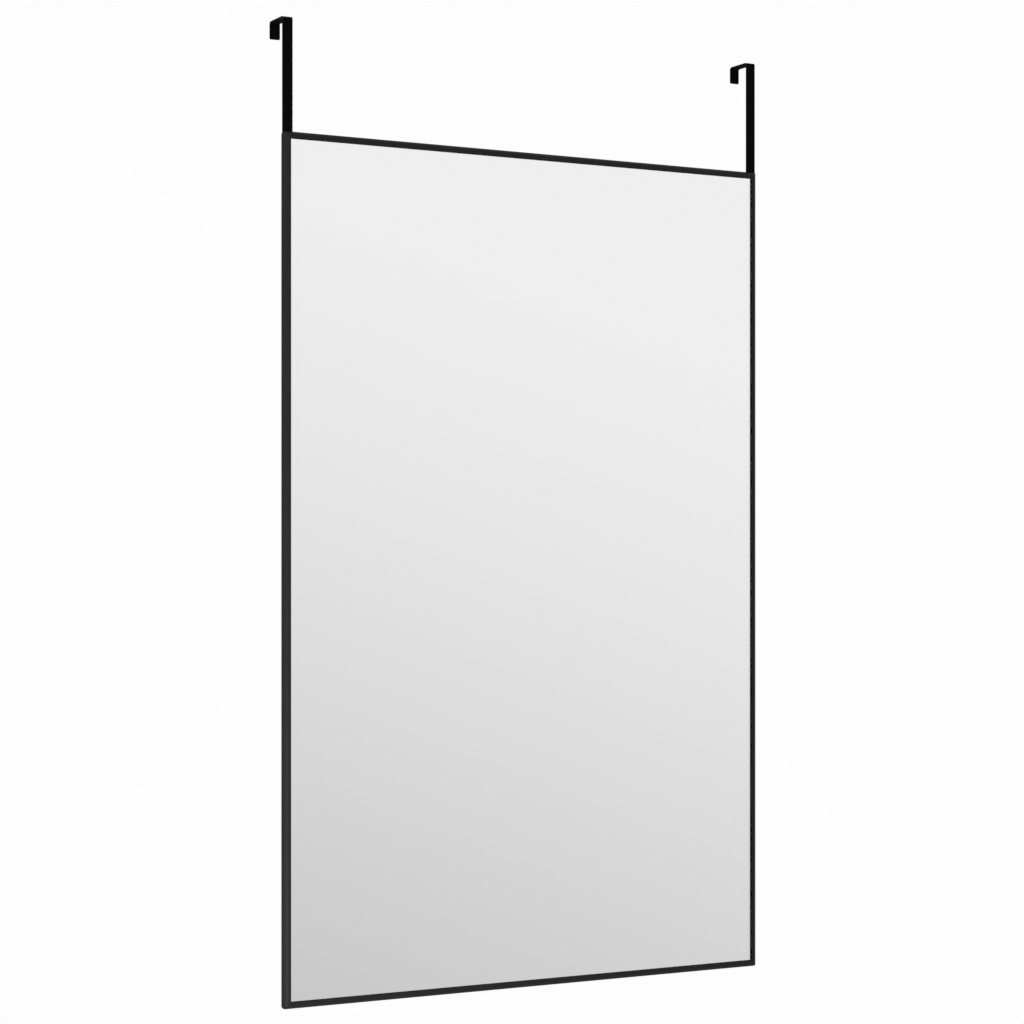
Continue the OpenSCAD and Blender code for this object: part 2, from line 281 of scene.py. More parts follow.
def channel_cutter(length, start_closed, end_closed):
    """The rear channel's own shape, along an upright bar."""
    levels = [(web_back, channel_chamfer), (web_back + channel_chamfer, 0),
              (frame_depth + cut_room, 0)]
    bench = bmesh.new()
    for depth, chamfer in levels:
        wall = channel_wall + chamfer
        rounded = quarter_turn(corner_radius - wall, (corner_radius, corner_radius))
        rounded.append((channel_inset, wall))
        square = [(wall, -cut_room), (channel_inset, -cut_room)]
        for x, z in rounded if start_closed else square:
            bench.verts.new((x, depth, z))
        for x, z in rounded if end_closed else square:
            bench.verts.new((x, depth, length - z))
    bmesh.ops.convex_hull(bench, input=bench.verts[:])
    return bench


print("Channel", round((channel_inset - channel_wall) / MM, 2), "mm wide, corners rounded to",
      round(corner_radius / MM, 1), "mm")

# %% [markdown]
# ## Standing the rails in the frame
#
# The hooks come up out of the side channels, so the top rail's thin outer wall is cut away above
# them. The edge of the lip that faces the mirror is a second, much darker material: painted shade
# for the recess where the lip meets the glass. The rails stay on the bench until that is done,
# and then a matrix carries each one to its side of the frame.

# %% Notch the top rail and stand all four
edge_break = 0.12 * MM
strap_front = hook_low.y - front_y
hook_notch_low = (-cut_room, strap_front - slide_gap, -cut_room)
hook_notch_high = (channel_wall + slide_gap, frame_depth + cut_room, channel_inset)
other_end = frame_width - channel_inset
top_notches = [
    (hook_notch_low, hook_notch_high),
    ((*hook_notch_low[:2], other_end), (*hook_notch_high[:2], frame_width + cut_room))]


def frame_rail(name, length, stand, closed, notches=()):
    """One rail: sawn, hollowed, notched, softened and stood in the frame.

    `closed` says for each end whether the channel stops at a wall there.
    """
    rail = keep_as_piece(mitred_rail(length), name)
    cut_away(rail, channel_cutter(length, *closed))
    for low, high in notches:
        cutter = bmesh.new()
        bar_between(cutter, low, high)
        cut_away(rail, cutter)
    soften_edges(rail, edge_break)
    # Faces on the lip's edge by the glass take the second slot: painted shade for the recess there.
    for face in rail.data.polygons:
        in_lip_painted_shade = face.center.y < lip_depth and face.center.x > rail_width - edge_break / 2
        face.material_index = 1 if in_lip_painted_shade else 0
    rail.data.transform(stand)
    if stand.determinant() < 0:
        rail.data.flip_normals()
    return rail


def stand_matrix(across, along, corner):
    """Carries the bench's x to `across` and its z to `along`, from a corner of the frame's front."""
    return Matrix((
        (across[0], 0, along[0], corner[0]),
        (across[1], 1, along[1], corner[1]),
        (across[2], 0, along[2], corner[2]),
        (0, 0, 0, 1)))


lower_left = (frame_low.x, front_y, frame_low.z)
lower_right = (frame_high.x, front_y, frame_low.z)
upper_left = (frame_low.x, front_y, frame_high.z)
rails = {
    "frame_left": frame_rail("rail_left", frame_height,
                             stand_matrix((1, 0, 0), (0, 0, 1), lower_left), (True, False)),
    "frame_right": frame_rail("rail_right", frame_height,
                              stand_matrix((-1, 0, 0), (0, 0, 1), lower_right), (True, False)),
    "frame_bottom": frame_rail("rail_bottom", frame_width,
                               stand_matrix((0, 0, 1), (1, 0, 0), lower_left), (True, True)),
    "frame_top": frame_rail("rail_top", frame_width,
                            stand_matrix((0, 0, -1), (1, 0, 0), upper_left), (False, False),
                            top_notches),
}
for node_name, rail in rails.items():
    settle(rail, "mirror_body", node_name)

# %% [markdown]
# ## The hooks
#
# Each hook is one flat steel strip: a long leg in the rail's channel, a bend, a bridge over the
# door, a second bend and a short lip. A curve with a bevel could trace it, but bending real strip is
# more like a spin: the end of the strip is turned about the bend's centre, and the strip goes on
# straight from there. The ends have rounded corners, as a punch leaves them.
#
# A long countersunk slot in the leg lets the hook slide on its two screws. It is punched straight
# through, and then sunk from behind with a wider cutter whose sides slope at 45 degrees. Each cutter
# is the hull of four circles, two at each end.

# %% Bend the strip
strip_width = hook_high.x - hook_low.x
strip_thickness = 2.0 * MM
strip_length = hook_high.z - hook_low.z
hook_depth = hook_high.y - hook_low.y
inner_bend = 1.5 * MM
outer_bend = inner_bend + strip_thickness
lip_length = 21.5 * MM
punched_corner = 1.5 * MM
bend_steps = 9
hair = 0.01 * MM


def push_on(bench, last, move):
    """Extrudes the strip's end by a straight move and returns the new end."""
    faces = [item for item in last if isinstance(item, bmesh.types.BMFace)]
    grown = bmesh.ops.extrude_face_region(bench, geom=faces)["geom"]
    bmesh.ops.delete(bench, geom=faces, context="FACES_ONLY")
    points = [item for item in grown if isinstance(item, bmesh.types.BMVert)]
    bmesh.ops.translate(bench, verts=points, vec=move)
    return grown


def bend_on(bench, last, centre):
    """Turns the strip's end a quarter circle about a bend's centre and returns the new end."""
    faces = [item for item in last if isinstance(item, bmesh.types.BMFace)]
    end = [item for item in last if item.is_valid]
    turned = bmesh.ops.spin(bench, geom=end, cent=centre, axis=(1, 0, 0),
                            angle=math.radians(-90), steps=bend_steps, use_duplicate=False)
    old = [face for face in faces if face.is_valid]
    bmesh.ops.delete(bench, geom=old, context="FACES_ONLY")
    return turned["geom_last"]


def bent_strip():
    """The hook's strip, with the leg's outer corner on x = 0, y = 0 and its top on z = 0."""
    bench = bmesh.new()
    end = [bench.verts.new(place) for place in (
        (0, 0, -strip_length), (strip_width, 0, -strip_length),
        (strip_width, strip_thickness, -strip_length), (0, strip_thickness, -strip_length))]
    start = bench.faces.new(end)
    leg = bmesh.ops.extrude_face_region(bench, geom=[start])["geom"]
    points = [item for item in leg if isinstance(item, bmesh.types.BMVert)]
    bmesh.ops.translate(bench, verts=points, vec=(0, 0, strip_length - outer_bend))
    first = bend_on(bench, leg, (0, outer_bend, -outer_bend))
    bridge = push_on(bench, first, (0, hook_depth - 2 * outer_bend, 0))
    second = bend_on(bench, bridge, (0, hook_depth - outer_bend, -outer_bend))
    push_on(bench, second, (0, 0, outer_bend - lip_length))
    return bench


def round_ends(bench):
    """Rounds the four corners at the strip's two ends."""
    bmesh.ops.remove_doubles(bench, verts=bench.verts[:], dist=weld_distance)
    ends = (-strip_length, -lip_length)
    corners = []
    for edge in bench.edges:
        a, b = (vert.co for vert in edge.verts)
        across_thickness = abs(a.y - b.y) > strip_thickness - hair and abs(a.x - b.x) < hair
        at_an_end = any(abs(a.z - z) + abs(b.z - z) < hair for z in ends)
        if across_thickness and at_an_end:
            corners.append(edge)
    bmesh.ops.bevel(bench, geom=corners, offset=punched_corner, segments=6, profile=0.5,
                    affect="EDGES", material=-1)
    return len(corners)


hook_bench = bent_strip()
print("Rounded", round_ends(hook_bench), "corners of a strip",
      round(strip_length / MM, 1), "mm long and", round(strip_thickness / MM, 1), "mm thick")
hook_blank = keep_as_piece(hook_bench, "hook_blank")

# %% Punch the slot and hang both hooks in place
slot_top = 152 * MM
slot_bottom = 240 * MM
slot_half = 1.8 * MM
sunk_half = 3.3 * MM
hook_edge_break = 0.22 * MM
to_depth = Matrix.Rotation(math.radians(-90), 4, "X")


def slot_cutter(front, back, front_half, back_half):
    """A long rounded shape between two depths, with its half width at each of them."""
    bench = bmesh.new()
    for depth, half in ((front, front_half), (back, back_half)):
        for drop in (slot_top, slot_bottom):
            place = Matrix.Translation((strip_width / 2, depth, -drop)) @ to_depth
            bmesh.ops.create_circle(bench, segments=40, radius=half, matrix=place)
    bmesh.ops.convex_hull(bench, input=bench.verts[:])
    return bench


beyond = 0.1 * MM
past_back = strip_thickness + beyond
sink_start = strip_thickness - (sunk_half - slot_half)
cut_away(hook_blank, slot_cutter(-beyond, past_back, slot_half, slot_half))
cut_away(hook_blank, slot_cutter(sink_start, past_back, slot_half, sunk_half + beyond))
soften_edges(hook_blank, hook_edge_break)


def hang_hook(side):
    """A copy of the blank at the place of one CAD hook."""
    low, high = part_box("hook_" + side)
    hook = hook_blank.copy()
    hook.data = hook_blank.data.copy()
    hook.name = "strip_hook_" + side
    hook.data.name = hook.name
    bpy.context.scene.collection.objects.link(hook)
    hook.data.transform(Matrix.Translation((low.x, low.y, high.z)))
    settle(hook, side + "_hook", "hook_" + side)
    return hook


hooks = [hang_hook("left"), hang_hook("right")]
bpy.data.objects.remove(hook_blank)

# %% [markdown]
# ## The pads inside the hooks
#
# Thin rubber pads line each hook where it touches the door. They are simple bars with rounded
# edges, cut to the same two boxes as the CAD solids: one under the bridge and one on the lip.

# %% Line the hooks
pad_thickness = 0.5 * MM
pad_edge = 0.12 * MM
pad_inset = 1.5 * MM


def line_hook(side):
    """The two pads of one hook, as one piece of two separate bars."""
    low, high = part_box("hook_pad_" + side)
    bench = bmesh.new()
    bridge_back = high.y - inner_bend - pad_inset
    lip_top = high.z - inner_bend - pad_inset
    bar_between(bench, (low.x, low.y, high.z - pad_thickness), (high.x, bridge_back, high.z))
    bar_between(bench, (low.x, high.y - pad_thickness, low.z), (high.x, high.y, lip_top))
    pads = keep_as_piece(bench, "door_pads_" + side)
    soften_edges(pads, pad_edge, segments=3)
    settle(pads, side + "_hook", "hook_pad_" + side)
    return pads


pads = [line_hook("left"), line_hook("right")]

# %% [markdown]
# ## The screws
#
# A flat-head screw is a shape turned on a lathe, so half of its outline is drawn and spun round the
# axis. The cross in its head is two slots cut at right angles. Its measures are shares of the head's
# radius, so one function fits both sizes. One screw of each size is made and then copied to its
# places, and the copies that share a CAD node stay one object.

# %% Turn the screws
frame_screw_shank = 1.0 * MM
frame_screw_head = 1.8 * MM
hook_screw_shank = 1.45 * MM
hook_screw_head = 2.75 * MM
screw_rim = 0.1 * MM
cross_reach = 0.62
cross_half_width = 0.13
cross_depth = 0.6


def turn_on_lathe(outline, steps):
    """A bmesh turned round the y axis from a half outline of (x, y) points."""
    bench = bmesh.new()
    points = [bench.verts.new((x, y, 0)) for x, y in outline]
    lines = [bench.edges.new(pair) for pair in zip(points, points[1:])]
    bmesh.ops.spin(bench, geom=points + lines, cent=(0, 0, 0), axis=(0, 1, 0),
                   angle=math.radians(360), steps=steps, use_merge=True)
    return bench


def turned_screw(name, shank, head, length):
    """A screw along +Y, the head's flat face on y = 0, with a cross in it."""
    tip = 2 * screw_rim
    outline = [(0, 0), (head - screw_rim, 0), (head, -screw_rim),
               (shank, shank - head - screw_rim), (shank, tip - length),
               (shank - tip, -length), (0, -length)]
    screw = keep_as_piece(turn_on_lathe(outline, steps=36), name)
    reach = cross_reach * head
    slit = cross_half_width * head
    deep = cross_depth * (head - shank)
    for half_x, half_z in ((reach, slit), (slit, reach)):
        cross = bmesh.new()
        bar_between(cross, (-half_x, -deep, -half_z), (half_x, screw_rim, half_z))
        cut_away(screw, cross)
    return screw


def screw_group(name, pattern, places, back):
    """Copies of a screw at (x, z) places, with their heads' faces at the depth `back`."""
    bench = bmesh.new()
    for x, z in places:
        before = len(bench.verts)
        bench.from_mesh(pattern.data)
        new = bench.verts[before:]
        bmesh.ops.translate(bench, verts=new, vec=(x, back, z))
    return keep_as_piece(bench, name)


hook_screws_low, hook_screws_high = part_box("hook_screws_left")
frame_pattern = turned_screw("frame_screw_pattern", frame_screw_shank, frame_screw_head,
                             screws_high.y - screws_low.y)
hook_pattern = turned_screw("hook_screw_pattern", hook_screw_shank, hook_screw_head,
                            hook_screws_high.y - hook_screws_low.y)
print("Turned two sizes of screw, heads", round(2 * frame_screw_head / MM, 1), "and",
      round(2 * hook_screw_head / MM, 1), "mm across")

# %% Drive the screws
hook_screw_drops = (30 * MM, 80 * MM)
mid_screw_drop = 55 * MM
screw_from_corner = 30 * MM
screw_inset = (channel_wall + channel_inset) / 2


def both_sides(places):
    """The places and their mirror images across the middle."""
    return places + [(-x, z) for x, z in places]


left_places = [
    (frame_low.x + screw_inset, frame_low.z + screw_from_corner),
    (frame_low.x + screw_from_corner, frame_low.z + screw_inset),
    (frame_low.x + screw_from_corner, frame_high.z - screw_inset),
    (frame_low.x + screw_inset, frame_high.z - mid_screw_drop)]
frame_screws = screw_group("rail_screws", frame_pattern, both_sides(left_places),
                           screws_high.y)
settle(frame_screws, "mirror_body", "frame_screws")

hook_screws = []
for side in ("left", "right"):
    low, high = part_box("hook_screws_" + side)
    middle = (low.x + high.x) / 2
    places = [(middle, frame_high.z - drop) for drop in hook_screw_drops]
    group = screw_group("slot_screws_" + side, hook_pattern, places, high.y)
    settle(group, "mirror_body", "hook_screws_" + side)
    hook_screws.append(group)
bpy.data.objects.remove(frame_pattern)
bpy.data.objects.remove(hook_pattern)

# %% [markdown]
# ## The bumpers
#
# Four moulded rubber bumpers keep the back parallel to the door. Each is a low cone with a rounded
# rim and a shallow dimple in its face, where the mould's pin stood. It is turned like the screws.

# %% Mould the bumpers
bumper_foot = 7.0 * MM
bumper_face = 6.0 * MM
bumper_height = door_y - panel_high.y
bumper_edge = 0.3 * MM
dimple_radius = 1.8 * MM
dimple_depth = 0.6 * MM
dimple_slope = 0.35 * MM


def moulded_bumper(corner):
    """One bumper at the place of its CAD node."""
    low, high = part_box("bumper_" + corner)
    outline = [(0, -dimple_depth), (dimple_radius - dimple_slope, -dimple_depth),
               (dimple_radius, 0), (bumper_face, 0), (bumper_foot, -bumper_height),
               (0, -bumper_height)]
    bench = turn_on_lathe(outline, steps=48)
    middle = ((low.x + high.x) / 2, high.y, (low.z + high.z) / 2)
    bmesh.ops.translate(bench, verts=bench.verts[:], vec=middle)
    bumper = keep_as_piece(bench, "foot_" + corner)
    soften_edges(bumper, bumper_edge, segments=3, sharper_than=25)
    settle(bumper, "mirror_body", "bumper_" + corner)
    return bumper


bumpers = [moulded_bumper(corner) for corner in
           ("top_left", "top_right", "bottom_left", "bottom_right")]

# %% [markdown]
# ## Glass and silvering
#
# A household mirror is clear glass with silver on its back. That is why the frame's lip shows twice
# along its edge, once for real and once more in the silver, a few millimetres deeper. Painting a
# plate with a perfect mirror would lose that, so both are modelled: a clear slab with its sharp
# edges ground off, and a bright metal layer. The layer starts a hair inside the glass. Two faces at
# exactly one place would leave the renderer to guess which comes first.

# %% Make the glass and the silver
arris = 0.4 * MM
bond = 0.02 * MM

bench = bmesh.new()
bar_between(bench, glass_low, glass_high)
mirror_pane = keep_as_piece(bench, "mirror_pane")
soften_edges(mirror_pane, arris, segments=1)
settle(mirror_pane, "mirror_body", "mirror_glass")

silver_low, silver_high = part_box("mirror_silvering")
bench = bmesh.new()
bar_between(bench, (silver_low.x + arris, silver_low.y - bond, silver_low.z + arris),
            (silver_high.x - arris, silver_high.y, silver_high.z - arris))
silver_layer = keep_as_piece(bench, "silver_layer")
settle(silver_layer, "mirror_body", "mirror_silvering")

# %% [markdown]
# ## Effects that several finishes share
#
# A finish is never one flat colour. Coatings have a fine grain, handling leaves a faint unevenness
# of gloss, and colour drifts a little from place to place. Each of these is a node group with named
# sockets, built once and placed in every material that needs it, with that material's own values.
# The groups read Object coordinates, so the patterns keep still on the piece from every side.

# %% Start a node group
def start_group(name, inputs, outputs):
    """A new node group. Inputs are (name, kind, default) and outputs are (name, kind)."""
    group = bpy.data.node_groups.new(name, "ShaderNodeTree")
    for label, kind, default in inputs:
        socket = group.interface.new_socket(label, in_out="INPUT", socket_type=kind)
        if default is not None:
            socket.default_value = default
    for label, kind in outputs:
        group.interface.new_socket(label, in_out="OUTPUT", socket_type=kind)
    return group, group.nodes.new("NodeGroupInput"), group.nodes.new("NodeGroupOutput")


def sized_noise(group, group_in, size_name, detail):
    """Noise at the group's Vector, with features as large as the named input says."""
    scale = group.nodes.new("ShaderNodeMath")
    scale.operation = "DIVIDE"
    scale.inputs[0].default_value = 1.0
    noise = group.nodes.new("ShaderNodeTexNoise")
    noise.inputs["Detail"].default_value = detail
    group.links.new(group_in.outputs[size_name], scale.inputs[1])
    group.links.new(group_in.outputs["Vector"], noise.inputs["Vector"])
    group.links.new(scale.outputs[0], noise.inputs["Scale"])
    return noise


# %% Fine grain, for bump
grain_group, grain_in, grain_out = start_group(
    "coating grain",
    [("Vector", "NodeSocketVector", None), ("Grain Size", "NodeSocketFloat", 0.0004)],
    [("Height", "NodeSocketFloat")])
grain_noise = sized_noise(grain_group, grain_in, "Grain Size", 3.0)
grain_noise.inputs["Roughness"].default_value = 0.6
grain_group.links.new(grain_noise.outputs["Fac"], grain_out.inputs["Height"])
print("Group:", grain_group.name)

# %% Uneven gloss, for roughness
gloss_group, gloss_in, gloss_out = start_group(
    "uneven gloss",
    [("Vector", "NodeSocketVector", None), ("Patch Size", "NodeSocketFloat", 0.05),
     ("Lowest", "NodeSocketFloat", 0.4), ("Highest", "NodeSocketFloat", 0.5)],
    [("Roughness", "NodeSocketFloat")])
gloss_noise = sized_noise(gloss_group, gloss_in, "Patch Size", 4.0)
gloss_range = gloss_group.nodes.new("ShaderNodeMapRange")
gloss_range.inputs["From Min"].default_value = 0.3
gloss_range.inputs["From Max"].default_value = 0.7
wire = gloss_group.links.new
wire(gloss_noise.outputs["Fac"], gloss_range.inputs["Value"])
wire(gloss_in.outputs["Lowest"], gloss_range.inputs["To Min"])
wire(gloss_in.outputs["Highest"], gloss_range.inputs["To Max"])
wire(gloss_range.outputs["Result"], gloss_out.inputs["Roughness"])
print("Group:", gloss_group.name)

# %% Drifting colour, for base colour
drift_group, drift_in, drift_out = start_group(
    "drifting colour",
    [("Vector", "NodeSocketVector", None), ("Patch Size", "NodeSocketFloat", 0.02),
     ("Darker", "NodeSocketColor", (0.1, 0.1, 0.1, 1)),
     ("Lighter", "NodeSocketColor", (0.2, 0.2, 0.2, 1))],
    [("Color", "NodeSocketColor")])
drift_noise = sized_noise(drift_group, drift_in, "Patch Size", 5.0)
drift_mix = drift_group.nodes.new("ShaderNodeMix")
drift_mix.data_type = "RGBA"
wire = drift_group.links.new
wire(drift_noise.outputs["Fac"], drift_mix.inputs["Factor"])
wire(drift_in.outputs["Darker"], drift_mix.inputs["A"])
wire(drift_in.outputs["Lighter"], drift_mix.inputs["B"])
wire(drift_mix.outputs["Result"], drift_out.inputs["Color"])
print("Group:", drift_group.name)

# %% [markdown]
# ## Building a finish
#
# Every finish starts from the Principled shader, which stays in the material itself. The helper
# places the three shared groups round it. What is the same all over a surface, such as its index of
# refraction or its specular level, is set straight on the shader's own socket, so that an export
# keeps it.

# %% Helpers for finishes
bump_height = 0.05 * MM


def start_material(name):
    """A new material. Returns it with its nodes, the call that connects them and its shader."""
    material = bpy.data.materials.new(name)
    material.use_nodes = True
    nodes = material.node_tree.nodes
    return material, nodes, material.node_tree.links.new, nodes["Principled BSDF"]


def finish_with(name, darker, lighter, patch, roughness, gloss_patch, grain, bump,
                specular=0.5, metallic=0.0):
    """A material of the three shared effects, with two plain sockets of the shader."""
    material, nodes, connect, shader = start_material(name)
    shader.inputs["Specular IOR Level"].default_value = specular
    shader.inputs["Metallic"].default_value = metallic
    coordinates = nodes.new("ShaderNodeTexCoord")

    colour = nodes.new("ShaderNodeGroup")
    colour.node_tree = drift_group
    colour.inputs["Patch Size"].default_value = patch
    colour.inputs["Darker"].default_value = (*darker, 1)
    colour.inputs["Lighter"].default_value = (*lighter, 1)
    connect(coordinates.outputs["Object"], colour.inputs["Vector"])
    connect(colour.outputs["Color"], shader.inputs["Base Color"])

    gloss = nodes.new("ShaderNodeGroup")
    gloss.node_tree = gloss_group
    gloss.inputs["Patch Size"].default_value = gloss_patch
    gloss.inputs["Lowest"].default_value = roughness[0]
    gloss.inputs["Highest"].default_value = roughness[1]
    connect(coordinates.outputs["Object"], gloss.inputs["Vector"])
    connect(gloss.outputs["Roughness"], shader.inputs["Roughness"])

    relief = nodes.new("ShaderNodeGroup")
    relief.node_tree = grain_group
    relief.inputs["Grain Size"].default_value = grain
    connect(coordinates.outputs["Object"], relief.inputs["Vector"])
    bump_node = nodes.new("ShaderNodeBump")
    bump_node.inputs["Strength"].default_value = bump
    bump_node.inputs["Distance"].default_value = bump_height
    connect(relief.outputs["Height"], bump_node.inputs["Height"])
    connect(bump_node.outputs["Normal"], shader.inputs["Normal"])
    return material


def dress(pieces, material):
    """Gives every piece the material, in the slot it already has or a new one."""
    for piece in pieces:
        if not piece.data.materials:
            piece.data.materials.append(material)
        for index in range(len(piece.data.materials)):
            piece.data.materials[index] = material
    print(material.name, "on", ", ".join(piece.name for piece in pieces))


# %% [markdown]
# ## Black coatings
#
# The frame has a satin black coating with a very fine grain: a dark base and a weak, wide gloss.
# The lip's edge beside the glass gets a much darker copy of it, as painted shade for the recess
# there. The hooks are powder coated in a flatter, deeper black, and the screws are blackened
# steel.

# %% Coat the frame, the hooks and the screws
frame_coat = finish_with(
    "satin black coating", darker=(0.0138, 0.0138, 0.014), lighter=(0.0178, 0.0178, 0.0181),
    patch=30 * MM, roughness=(0.42, 0.5), gloss_patch=60 * MM, grain=0.35 * MM, bump=0.12,
    specular=0.06)
# A much darker copy of the frame coat for the lip's edge by the glass: painted shade for the recess.
lip_edge_painted_shade = finish_with(
    "thin coat on the lip", darker=(0.0028, 0.0028, 0.0029), lighter=(0.0042, 0.0042, 0.0043),
    patch=10 * MM, roughness=(0.55, 0.65), gloss_patch=40 * MM, grain=0.35 * MM, bump=0.12,
    specular=0.04)
for rail in rails.values():
    rail.data.materials.append(frame_coat)
    rail.data.materials.append(lip_edge_painted_shade)
print(frame_coat.name, "and", lip_edge_painted_shade.name, "on", len(rails), "rails")

hook_coat = finish_with(
    "flat black powder coat", darker=(0.0018, 0.0018, 0.0019), lighter=(0.0027, 0.0027, 0.0028),
    patch=20 * MM, roughness=(0.5, 0.6), gloss_patch=40 * MM, grain=0.5 * MM, bump=0.25,
    specular=0.02)
dress(hooks, hook_coat)

screw_black = finish_with(
    "blackened steel", darker=(0.03, 0.03, 0.032), lighter=(0.05, 0.05, 0.053),
    patch=2 * MM, roughness=(0.3, 0.42), gloss_patch=2 * MM, grain=0.2 * MM, bump=0.1,
    metallic=0.8)
dress([frame_screws, *hook_screws], screw_black)

# %% [markdown]
# ## Glass, silver and the layers behind
#
# The glass is clear with a slight green tint. The silver is a perfect reflector in front and grey
# backing paint behind. The direction a face points decides which of the two it shows.

# %% Glaze and silver the mirror
glass, _, _, shader = start_material("clear float glass")
shader.inputs["Base Color"].default_value = (0.982, 0.984, 0.983, 1)
shader.inputs["Roughness"].default_value = 0.0
shader.inputs["IOR"].default_value = 1.52
shader.inputs["Transmission Weight"].default_value = 1.0
dress([mirror_pane], glass)

silver, nodes, connect, shader = start_material("silvered back")
surface = nodes.new("ShaderNodeNewGeometry")
facing = nodes.new("ShaderNodeSeparateXYZ")
behind = nodes.new("ShaderNodeMath")
behind.operation = "GREATER_THAN"
behind.inputs[1].default_value = 0.5
paint = nodes.new("ShaderNodeMix")
paint.data_type = "RGBA"
paint.inputs["A"].default_value = (0.95, 0.95, 0.95, 1)
paint.inputs["B"].default_value = (0.25, 0.26, 0.27, 1)
metal = nodes.new("ShaderNodeMath")
metal.operation = "SUBTRACT"
metal.inputs[0].default_value = 1.0
dull = nodes.new("ShaderNodeMath")
dull.operation = "MULTIPLY"
dull.inputs[1].default_value = 0.5
connect(surface.outputs["True Normal"], facing.inputs["Vector"])
connect(facing.outputs["Y"], behind.inputs[0])
connect(behind.outputs[0], paint.inputs["Factor"])
connect(behind.outputs[0], metal.inputs[1])
connect(behind.outputs[0], dull.inputs[0])
connect(paint.outputs["Result"], shader.inputs["Base Color"])
connect(metal.outputs[0], shader.inputs["Metallic"])
connect(dull.outputs[0], shader.inputs["Roughness"])
dress([silver_layer], silver)

# %% Film, foam and back panel
film = finish_with(
    "safety film", darker=(0.52, 0.56, 0.6), lighter=(0.6, 0.64, 0.68),
    patch=15 * MM, roughness=(0.35, 0.5), gloss_patch=20 * MM, grain=0.8 * MM, bump=0.3)
dress([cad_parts["safety_film"]], film)

foam = finish_with(
    "foam tape", darker=(0.72, 0.72, 0.7), lighter=(0.86, 0.86, 0.84),
    patch=1.5 * MM, roughness=(0.85, 0.95), gloss_patch=5 * MM, grain=0.6 * MM, bump=0.9)
dress([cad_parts["foam_strips"]], foam)

board = finish_with(
    "raw hardboard", darker=(0.16, 0.095, 0.05), lighter=(0.30, 0.19, 0.11),
    patch=1.6 * MM, roughness=(0.62, 0.8), gloss_patch=25 * MM, grain=0.9 * MM, bump=0.7)
dress([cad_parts["back_panel"]], board)

# %% [markdown]
# ## Rubber and zinc
#
# The bumpers are black rubber, dull and a little dusty, and the pads are a deeper black foam
# rubber. The corner plates are zinc plated steel. They show only as narrow strips beside the back
# panel, as a light, cloudy metal.

# %% Rubber and zinc finishes
rubber = finish_with(
    "black rubber", darker=(0.018, 0.018, 0.018), lighter=(0.03, 0.03, 0.029),
    patch=4 * MM, roughness=(0.62, 0.78), gloss_patch=6 * MM, grain=0.4 * MM, bump=0.4)
dress(bumpers, rubber)

pad_foam = finish_with(
    "black cellular rubber", darker=(0.0022, 0.0022, 0.0022), lighter=(0.0038, 0.0038, 0.0038),
    patch=3 * MM, roughness=(0.85, 0.95), gloss_patch=6 * MM, grain=0.5 * MM, bump=0.5,
    specular=0.02)
dress(pads, pad_foam)

zinc = finish_with(
    "zinc plated steel", darker=(0.34, 0.35, 0.37), lighter=(0.52, 0.53, 0.55),
    patch=5 * MM, roughness=(0.3, 0.48), gloss_patch=8 * MM, grain=0.3 * MM, bump=0.1,
    metallic=1.0)
plates = [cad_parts["corner_plate_" + corner] for corner in
          ("top_left", "top_right", "bottom_left", "bottom_right")]
dress(plates, zinc)

# %% [markdown]
# ## The camera
#
# The photograph was taken from the mirror's left, level, with a long lens. Its upright edges stay
# exactly upright, so the lens was raised a little by shift and never tilted. The place and the lens
# below follow from the perspective of the frame's edges.

# %% Set up the camera
camera_data = bpy.data.cameras.new("camera")
camera_data.lens = 89.67
camera_data.sensor_width = 36.0
camera_data.shift_x = -0.0331
camera_data.shift_y = 0.0483
camera_data.clip_start = 0.05
camera_data.clip_end = 100
camera = bpy.data.objects.new("camera", camera_data)
camera.location = (-1.5671, -2.8409, -0.6557)
camera.rotation_euler = (math.radians(90), 0, math.radians(-29.245))
bpy.context.scene.collection.objects.link(camera)
bpy.context.scene.camera = camera
print("Camera", round(camera.location.length, 2), "m from the door's top edge")

# %% [markdown]
# ## The floor
#
# The mirror hangs at the height of a door two metres high, so the floor lies well below it. The
# floor is a pale disc. Towards its rim it fades into the light grey of the backdrop, so that no
# horizon shows, and near the middle it keeps the object's soft shadow.

# %% Lay the floor
floor_z = -2.03
floor_radius = 4.0
fade_start = 2.2
fade_end = 1.05 * floor_radius
backdrop_grey = 0.982
bench = bmesh.new()
bmesh.ops.create_circle(bench, cap_ends=True, segments=96, radius=floor_radius,
                        matrix=Matrix.Translation((0, 0, floor_z)))
floor = keep_as_piece(bench, "floor")

pale, nodes, connect, matte = start_material("pale floor")
matte.inputs["Base Color"].default_value = (0.82, 0.82, 0.82, 1)
matte.inputs["Roughness"].default_value = 0.9
matte.inputs["Specular IOR Level"].default_value = 0.1
coordinates = nodes.new("ShaderNodeTexCoord")
reach = nodes.new("ShaderNodeVectorMath")
reach.operation = "LENGTH"
fade = nodes.new("ShaderNodeMapRange")
fade.interpolation_type = "SMOOTHSTEP"
fade.inputs["From Min"].default_value = fade_start
fade.inputs["From Max"].default_value = fade_end
white = nodes.new("ShaderNodeEmission")
white.inputs["Strength"].default_value = backdrop_grey
blend = nodes.new("ShaderNodeMixShader")
connect(coordinates.outputs["Object"], reach.inputs[0])
connect(reach.outputs["Value"], fade.inputs["Value"])
connect(fade.outputs["Result"], blend.inputs["Fac"])
connect(matte.outputs["BSDF"], blend.inputs[1])
connect(white.outputs["Emission"], blend.inputs[2])
connect(blend.outputs["Shader"], nodes["Material Output"].inputs["Surface"])
floor.data.materials.append(pale)
print("Floor at", floor_z, "m, fading out from", fade_start, "m to its rim at", floor_radius, "m")

